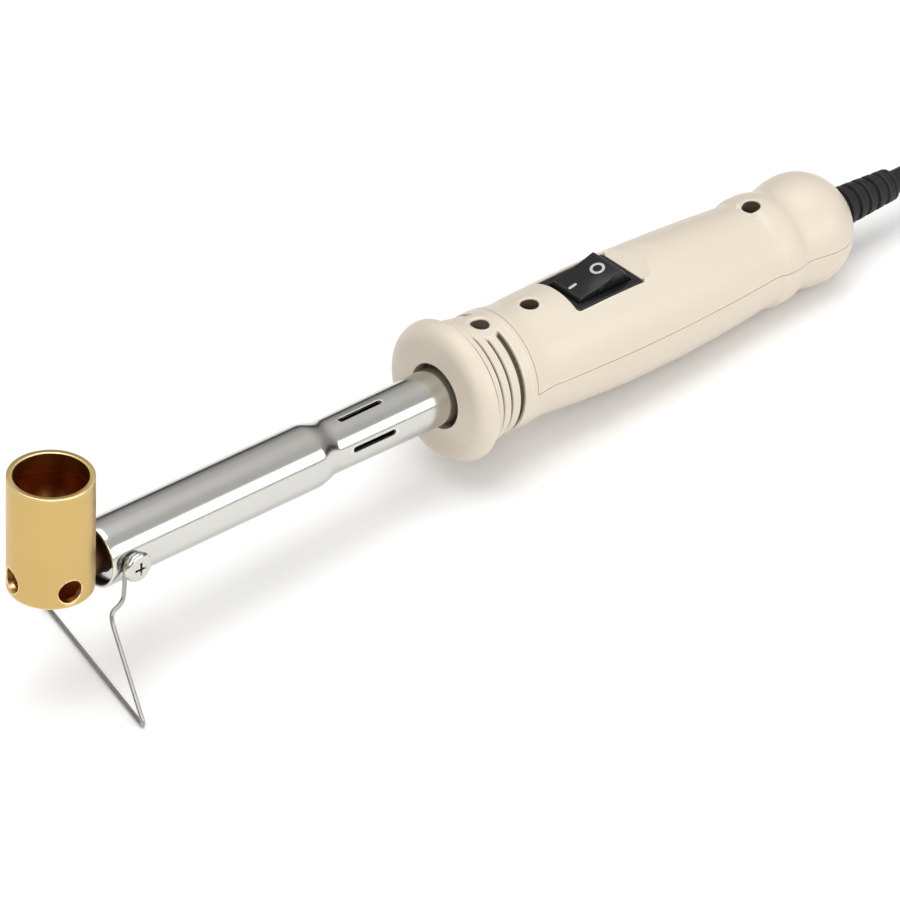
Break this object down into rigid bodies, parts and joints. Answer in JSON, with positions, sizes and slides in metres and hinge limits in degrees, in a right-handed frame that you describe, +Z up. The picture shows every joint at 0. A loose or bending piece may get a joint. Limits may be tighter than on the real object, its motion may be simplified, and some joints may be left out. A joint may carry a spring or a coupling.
{
  "type": "heated hand iron",
  "caption": "Electric hand iron with a hollow brass cup head on a vented steel barrel, rocker switch in the handle, folding wire stand and mains lead.",
  "frame": {"origin": "centre of the tool's footprint on the surface that it stands on, the mains lead left out", "axes": "+Z up, +X along the tool from the cup to the lead, +Y across the handle towards its far side"},
  "size_m": [0.4611, 0.0665, 0.0613],
  "materials": {
    "brass": "satin, turned",
    "dark_brass": "heat-darkened",
    "stainless": "polished",
    "nickel": "plated",
    "spring_steel": "drawn wire",
    "zinc": "plated",
    "cream_plastic": "fine satin moulding",
    "black_plastic": "satin",
    "black_rubber": "matt",
    "ceramic": "unglazed",
    "mica": "sheet",
    "winding": "oxidised wire",
    "fibre": "pressed fibre board",
    "brown_wire": "sleeving",
    "blue_wire": "sleeving"
  },
  "bodies": {
    "root": {"tip_clamp_ring": "nickel", "barrel": "stainless", "tip_screw_near": "nickel", "tip_screw_far": "nickel", "heater_core": "ceramic", "heater_winding": "winding", "mica_sleeve": "mica", "heater_end_cap": "ceramic", "heat_bush": "fibre", "handle_body": "cream_plastic", "handle_cover": "cream_plastic", "collar_screw": "zinc", "cover_screw_front": "zinc", "cover_screw_rear": "zinc", "switch_housing": "black_plastic", "rocker_pin": "zinc", "switch_terminal_front": "brass", "switch_terminal_rear": "brass", "terminal_block": "ceramic", "terminal_screw_front": "zinc", "terminal_screw_rear": "zinc", "heater_lead_live": "brown_wire", "heater_lead_neutral": "blue_wire", "conductor_live": "brown_wire", "conductor_neutral": "blue_wire", "inner_cord": "black_rubber", "cord_clamp_bar": "fibre", "clamp_screw_near": "zinc", "clamp_screw_far": "zinc", "strain_relief": "black_rubber", "cord_run": "black_rubber", "cord_tail": "black_rubber", "cord_coil": "black_rubber", "cord_tie": "black_plastic", "plug_body": "black_rubber", "plug_pin_left": "nickel", "plug_pin_right": "nickel"},
    "tip": {"cup_head": "brass", "tip_shank": "dark_brass"},
    "stand": {"stand_wire": "spring_steel"},
    "rocker": {"switch_rocker": "black_plastic"}
  },
  "joints": [
    {"name": "stand_fold", "type": "hinge", "parent": "root", "child": "stand", "pos_m": [-0.11024, -0.00028, 0.03137], "axis": [0, -1, 0], "range_deg": [0, 75]},
    {"name": "switch_rock", "type": "hinge", "parent": "root", "child": "rocker", "pos_m": [0.03816, -0.00028, 0.02992], "axis": [0, 1, 0], "range_deg": [0, 28]},
    {"name": "tip_slide", "type": "slide", "parent": "root", "child": "tip", "axis": [-0.9972, 0, 0.0744], "range_m": [0, 0.012]}
  ]
}
